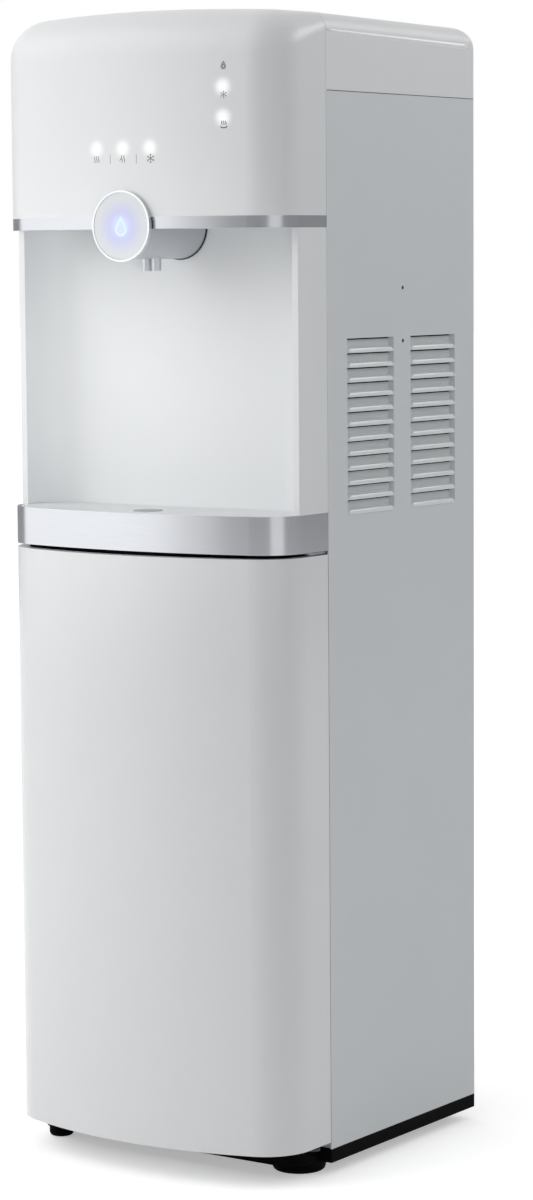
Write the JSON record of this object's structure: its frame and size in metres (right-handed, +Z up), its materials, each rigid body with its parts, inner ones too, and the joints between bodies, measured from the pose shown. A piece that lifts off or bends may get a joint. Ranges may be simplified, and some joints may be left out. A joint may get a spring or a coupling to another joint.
{
  "type": "water cooler",
  "caption": "Free-standing bottom-loading water cooler with a bowed door, a dispensing niche with push button and nozzles, a lift-out drip tray and louvred side panels.",
  "frame": {"origin": "on the floor under the middle of the cooler's bounding box", "axes": "+Z up, the front with the button and door faces -Y, +X is the user's right"},
  "size_m": [0.322, 0.3649, 1.086],
  "materials": {
    "white_abs": "glossy injection-moulded warm white",
    "painted_steel": "powder-coated pale grey sheet",
    "grey_plastic": "fine-textured pale grey moulding",
    "grille_plastic": "satin pale grey moulding",
    "splash_plastic": "grey-green insert",
    "black_plastic": "textured black moulding",
    "silver_trim": "satin silver, brushed along its length",
    "housing_silver": "satin silver",
    "chrome": "polished plating",
    "button_face": "light grey translucent moulding",
    "button_light": "lit white light guide",
    "indicator_light": "lit white light guide",
    "zinc_steel": "zinc-coated sheet steel",
    "stainless": "drawn stainless steel",
    "compressor_paint": "black stoved paint",
    "rubber": "moulded rubber",
    "foam": "moulded bead foam",
    "inner_plastic": "natural white moulding",
    "copper": "drawn copper",
    "circuit_board": "green solder mask",
    "hot_rocker": "red moulding",
    "cold_rocker": "green moulding"
  },
  "bodies": {
    "cabinet": {"base_plinth": "black_plastic", "bottle_platform": "grey_plastic", "button_bezel": "chrome", "button_switch": "black_plastic", "cold_nozzle": "chrome", "cold_tank": "stainless", "cold_tank_insulation": "foam", "compressor": "compressor_paint", "compressor_mounts": "rubber", "condenser_rack": "compressor_paint", "condenser_tube": "compressor_paint", "control_board": "circuit_board", "drain_spout": "inner_plastic", "evaporator": "copper", "feet": "black_plastic", "filter_drier": "copper", "front_crossbar": "zinc_steel", "head_cover": "white_abs", "head_trim_strip": "silver_trim", "heater_band": "stainless", "hot_nozzle": "chrome", "hot_tank": "stainless", "hot_tank_insulation": "foam", "indicator_lenses": "indicator_light", "lance_clip": "grey_plastic", "left_side_panel": "painted_steel", "lower_hinge": "zinc_steel", "magnet_catch": "black_plastic", "mid_deck": "zinc_steel", "niche_liner": "white_abs", "panel_screws": "zinc_steel", "power_board": "circuit_board", "power_inlet": "black_plastic", "rear_panel": "zinc_steel", "refrigerant_pipes": "copper", "right_side_panel": "painted_steel", "solenoid_valves": "inner_plastic", "spout_housing": "housing_silver", "suction_hose": "rubber", "suction_lance": "grey_plastic", "switch_plate": "black_plastic", "tank_lid": "inner_plastic", "tank_shelf": "zinc_steel", "top_cover": "white_abs", "tray_carrier": "white_abs", "tray_trim": "silver_trim", "upper_hinge": "zinc_steel", "water_pump": "inner_plastic"},
    "door": {"door_panel": "white_abs", "door_inner_panel": "grey_plastic", "door_strike": "zinc_steel"},
    "dispense_button": {"dispense_button": "button_face", "button_drop": "button_light"},
    "drip_tray": {"drip_tray": "grey_plastic"},
    "drip_grille": {"drip_grille": "grille_plastic", "splash_disc": "splash_plastic"},
    "hot_switch": {"hot_switch": "hot_rocker"},
    "cold_switch": {"cold_switch": "cold_rocker"},
    "drain_cap": {"drain_cap": "black_plastic"},
    "tank_float": {"tank_float": "inner_plastic"}
  },
  "joints": [
    {"name": "door_hinge", "type": "hinge", "parent": "cabinet", "child": "door", "pos_m": [0.153, -0.0975, 0.3093], "axis": [0, 0, 1], "range_deg": [0, 105]},
    {"name": "button_press", "type": "slide", "parent": "cabinet", "child": "dispense_button", "axis": [0, 1, 0], "range_m": [0, 0.0012], "stiffness_N_per_m": 400},
    {"name": "tray_lift", "type": "slide", "parent": "cabinet", "child": "drip_tray", "axis": [0, 0, 1], "range_m": [0, 0.08]},
    {"name": "grille_lift", "type": "slide", "parent": "drip_tray", "child": "drip_grille", "axis": [0, 0, 1], "range_m": [0, 0.06]},
    {"name": "hot_switch_rock", "type": "hinge", "parent": "cabinet", "child": "hot_switch", "pos_m": [-0.085, 0.16, 0.93], "axis": [-1, 0, 0], "range_deg": [0, 14]},
    {"name": "cold_switch_rock", "type": "hinge", "parent": "cabinet", "child": "cold_switch", "pos_m": [-0.055, 0.16, 0.93], "axis": [-1, 0, 0], "range_deg": [0, 14]},
    {"name": "drain_cap_turn", "type": "hinge", "parent": "cabinet", "child": "drain_cap", "pos_m": [0.08501, 0.1705, 0.662], "axis": [0, 1, 0], "range_deg": [0, 540]},
    {"name": "float_rise", "type": "slide", "parent": "cabinet", "child": "tank_float", "axis": [0, 0, 1], "range_m": [0, 0.02]}
  ]
}
